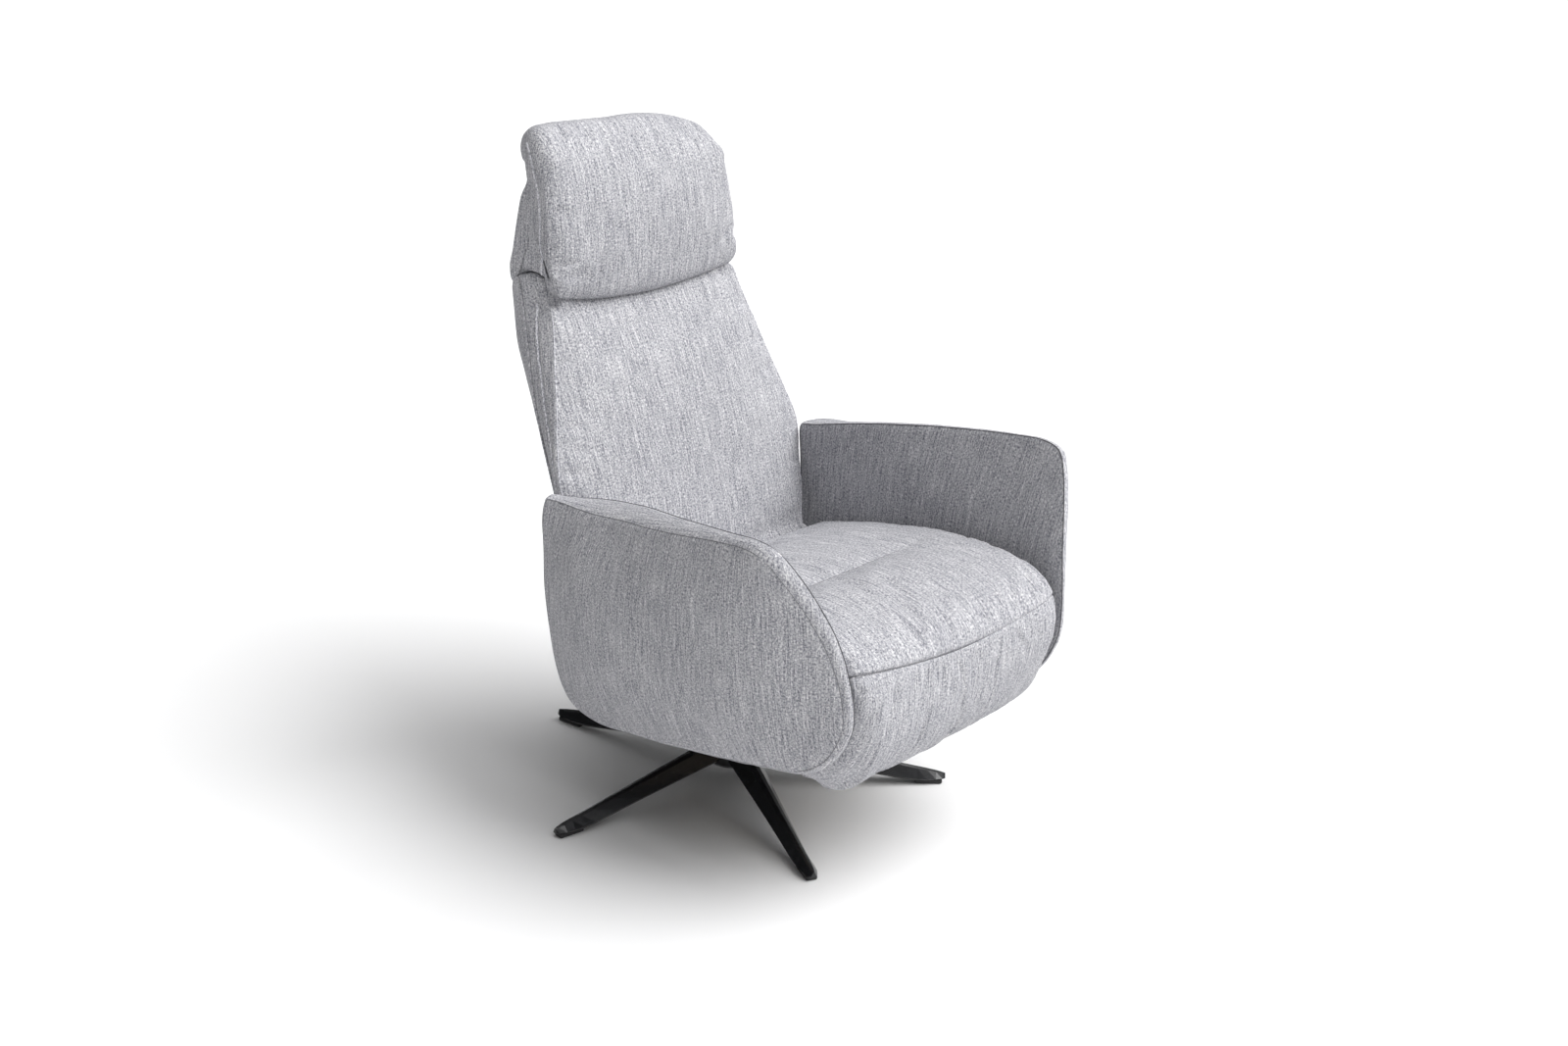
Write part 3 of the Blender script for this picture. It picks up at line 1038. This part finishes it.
def head_rows():
    path = loop_through(HEAD_OUT + HEAD_BACK, 210)
    yz, wide = path[:, :2], path[:, 2]
    tan = np.roll(yz, -1, 0) - np.roll(yz, 1, 0)
    nrm = np.stack([tan[:, 1], -tan[:, 0]], 1)
    nrm /= np.linalg.norm(nrm, axis=1)[:, None]
    mid = yz.mean(0)
    if ((yz - mid) * nrm).sum() < 0:
        nrm = -nrm
    for _ in range(12):
        nrm = (np.roll(nrm, 1, 0) + 2 * nrm + np.roll(nrm, -1, 0)) / 4
    # radius of the edge rounding: full at the front and top, small at the back and in the hollow
    r = np.where(yz[:, 0] < 0.30, 0.026, 0.012)
    r = np.where((yz[:, 1] < 0.850) & (yz[:, 0] < 0.30), 0.014, r)
    r = np.where(yz[:, 1] > 0.985, 0.030, r)
    r = np.where((yz[:, 1] < 0.866) & (yz[:, 0] > 0.232), 0.006, r)
    for _ in range(10):
        r = (np.roll(r, 1) + 2 * r + np.roll(r, -1)) / 4
    # the hollow's front wall, between its ceiling and the lip
    k0 = int(np.argmin(np.linalg.norm(yz - np.array([.2700, .8520]), axis=1)))
    k1 = int(np.argmin(np.linalg.norm(yz - np.array([.2365, .8035]), axis=1)))
    ramp = (np.arange(len(yz)) - k0) / max(k1 - k0, 1)
    hollow = np.clip((ramp - 0.10) / 0.30, 0, 1) * np.clip((1 - ramp) / 0.14, 0, 1)
    fs = np.concatenate([[-1, -0.998, -0.992, -0.982, -0.968, -0.95, -0.93], np.linspace(-0.905, 0.905, 92), [0.93, 0.95, 0.968, 0.982, 0.992, 0.998, 1]])
    rows = []
    for f in fs:
        e = np.clip((abs(f) - (1 - r / wide)) / (r / wide), 0, 1)
        off = r * (1 - np.sqrt(np.maximum(1 - (0.99 * e) ** 2, 0)))
        p = yz - nrm * off[:, None]

        high = np.clip((p[:, 1] - 0.985) / 0.10, 0, 1)
        high = high * high * (3 - 2 * high)
        x = wide * f
        if f > 0:
            up_here = np.clip((p[:, 1] - 0.855) / 0.135, 0, 1)
            x = x - f ** 3 * (0.0160 * up_here * up_here * (3 - 2 * up_here) + 0.0050 * np.clip((p[:, 1] - 0.822) / 0.03, 0, 1))
        # the crown drops away on one side and stays full on the other, as stuffing settles
        far = np.clip((x + 0.02) / 0.22, 0, 1.1)
        near = np.clip((-x - 0.12) / 0.08, 0, 1)
        p[:, 1] += (-0.0065 + 0.0105 * np.clip((-x - 0.02) / 0.12, 0, 1) - 0.056 * far ** 2.2) * high
        frontness = np.clip((0.262 - p[:, 0]) / 0.03, 0, 1)
        low = np.clip((0.88 - p[:, 1]) / 0.07, 0, 1)
        bend = (np.abs(x) / 0.20) ** 2
        lift = 0.014 * bend * 0.6 if f > 0 else 0.0182 * bend + 0.0085 * bend ** 2 + 0.0020 * np.clip(-x / 0.06, 0, 1)
        p[:, 1] += lift * low * frontness
        p[:, 0] += 0.014 * bend * frontness
        # at the sides the lip runs back beside the back cushion's rounded corners
        side_in = np.clip((abs(f) * 0.198 - 0.170) / 0.018, 0, 1)
        side_in = side_in * side_in * (3 - 2 * side_in)
        p[:, 0] += 0.0260 * side_in * hollow
        # and the cover's lower edge hangs a little over the back's shoulder
        skirt = np.clip((np.abs(x) - 0.184) / 0.008, 0, 1) * np.clip((p[:, 0] - 0.262) / 0.012, 0, 1) * np.clip((0.340 - p[:, 0]) / 0.010, 0, 1)
        p[:, 1] -= 0.0030 * skirt * np.clip((0.870 - p[:, 1]) / 0.010, 0, 1)
        rows.append(np.stack([x, p[:, 0], p[:, 1]], 1))
    return np.array(rows)


head = skin("headrest_cover", head_rows())
co, no = coords(head), normals(head)
ly = co[:, 1] - YS
front = np.clip(-no[:, 1], 0, 1)
d = 0.0026 * noise2(co[:, 0] / 0.11, co[:, 2] / 0.09, 63, 2) * front
# pinched gathers above the lower corners
for s, strength in ((-1, 1.0), (1, 0.45)):
    dx = s * co[:, 0] - 0.180
    dz = co[:, 2] - 0.828
    near = np.exp(-(dx / 0.045) ** 2 - (np.maximum(dz, 0) / 0.040) ** 2) * front
    d += strength * near * 0.0050 * noise2((dx + 0.35 * dz) / 0.014, dz / 0.060, 71, 2)
set_coords(head, co + no * d[:, None])
co, no = coords(head), normals(head)
free = np.clip((np.maximum(-no[:, 1], no[:, 2]) - 0.20) / 0.35, 0, 1) * np.clip((0.325 - (co[:, 1] - YS)) / 0.03, 0, 1) * np.clip((co[:, 2] - 0.828) / 0.03, 0, 1)
settle(head, 1 - free, 4.0, 0.022, 0.008, 0.5, 0.25, 1.0)
head.data.materials.append(FABRIC)
box_uv(head)
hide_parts("headrest_cushion", "headrest_rear_cover")
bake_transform(head)

HEAD_SEAM = [(.3180, 1.0640), (.3074, 1.0493), (.2904, 1.0137), (.2790, .9800), (.2767, .9500), (.2765, .9210), (.2778, .8640), (.2790, .8500)]
for s, tag in ((-1, "right"), (1, "left")):
    yz = loop_through(HEAD_SEAM, 90, False)
    line = np.stack([np.full(90, s * 0.2080), yz[:, 0] + YS, yz[:, 1]], 1)
    line = smooth_line(snap(head, line, 0.0), 4)
    line = smooth_line(snap(head, line, 0.0005), 2)
    t = thread("head_gusset_seam_" + tag, line, 0.0019, PIPING)
    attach(t, "headrest")

# ------------------------------------------------------------------ leg rest swing plates
def swing_plate(name, node, x0, x1):
    """The flat steel link beside the leg rest, round at its pivot and drilled for it, its upper front edge cut back to clear the seat."""
    ring = [(A[0] - 0.014 * math.cos(math.radians(d)), A[1] + 0.014 * math.sin(math.radians(d))) for d in range(-10, 191, 10)]
    outline = np.array(ring + [(-0.3920, 0.3750), (-0.4180, 0.3004), (-0.4450, 0.3004), (-0.4390, 0.3380)])
    pts = []
    for a, b in zip(outline, np.roll(outline, -1, 0)):
        k = max(1, int(np.linalg.norm(b - a) / 0.006))
        pts += [a + (b - a) * i / k for i in range(k)]
    pts = np.array(pts)
    away = pts - np.array(A)
    hole = np.array(A) + away / np.linalg.norm(away, axis=1)[:, None] * 0.0057
    n = len(pts)
    verts = []
    for loop, x in ((pts, x0), (pts, x1), (hole, x1), (hole, x0)):
        verts += [(x, q[0] + YS, q[1]) for q in loop]
    faces = [(r * n + i, r * n + (i + 1) % n, ((r + 1) % 4) * n + (i + 1) % n, ((r + 1) % 4) * n + i) for r in range(4) for i in range(n)]
    ob = add_object(name, verts, faces)
    bm = bmesh.new()
    bm.from_mesh(ob.data)
    bmesh.ops.recalc_face_normals(bm, faces=bm.faces)
    bm.to_mesh(ob.data)
    bm.free()
    dress(ob, "legrest", STEEL)
    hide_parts(node)
    edge = ob.modifiers.new("edge", 'BEVEL')
    edge.width = 0.0004
    edge.segments = 2
    edge.limit_method = 'ANGLE'
    edge.angle_limit = math.radians(50)
    return ob


swing_plate("legrest_link_right", "legrest_swing_plate_right", -0.2225, -0.2200)
swing_plate("legrest_link_left", "legrest_swing_plate_left", 0.2200, 0.2225)

# ------------------------------------------------------------------ foot: soft edges on the pressed arms
for i in range(1, 6):
    ob = frame["nodes"]["star_arm_%d" % i]
    b = ob.modifiers.new("edge", 'BEVEL')
    b.width = 0.0016
    b.segments = 3
    b.limit_method = 'ANGLE'
    b.angle_limit = math.radians(22)
    b.harden_normals = False

# ------------------------------------------------------------------ stage and light
floor_mat = plain_material("pale_floor", (0.86, 0.86, 0.862), 0.95, 0.0, 3.0, 0.003, 0.0)
floor = add_object("floor", [(-14, -14, -0.0005), (14, -14, -0.0005), (14, 14, -0.0005), (-14, 14, -0.0005)], [(0, 1, 2, 3)])
floor.data.materials.append(floor_mat)

world = bpy.data.worlds.new("studio")
bpy.context.scene.world = world
world.use_nodes = True
bpy.context.scene.view_settings.view_transform = 'Standard'
wt = world.node_tree
bg = wt.nodes["Background"]
# a soft studio dome: brightest above and ahead of the seat, dim on the sitter's right
tc = wt.nodes.new("ShaderNodeTexCoord")
dot = wt.nodes.new("ShaderNodeVectorMath")
dot.operation = 'DOT_PRODUCT'
wt.links.new(tc.outputs["Generated"], dot.inputs[0])
dot.inputs[1].default_value = (0.40, -0.50, 0.77)
rng = wt.nodes.new("ShaderNodeMapRange")
wt.links.new(dot.outputs["Value"], rng.inputs["Value"])
rng.inputs["From Min"].default_value = -0.10
rng.inputs["From Max"].default_value = 0.95
rng.inputs["To Min"].default_value = 0.03
rng.inputs["To Max"].default_value = 0.55
bg.inputs[0].default_value = (1.0, 1.0, 1.0, 1.0)
wt.links.new(rng.outputs[0], bg.inputs[1])


def sun(name, towards, strength, spread_deg):
    li = bpy.data.lights.new(name, 'SUN')
    li.energy = strength
    li.angle = math.radians(spread_deg)
    ob = bpy.data.objects.new(name, li)
    ob.rotation_euler = (-Vector(towards)).to_track_quat('-Z', 'Y').to_euler()
    ob.location = Vector(towards) * 4
    bpy.context.scene.collection.objects.link(ob)
    return ob


# a broad soft key from ahead and the sitter's left, high up, so that seat, back and head read light and the arms' flanks darker
sun("key", (0.38, -0.52, 0.76), 2.95, 50)
sun("overhead", (0.05, -0.32, 0.945), 1.25, 60)
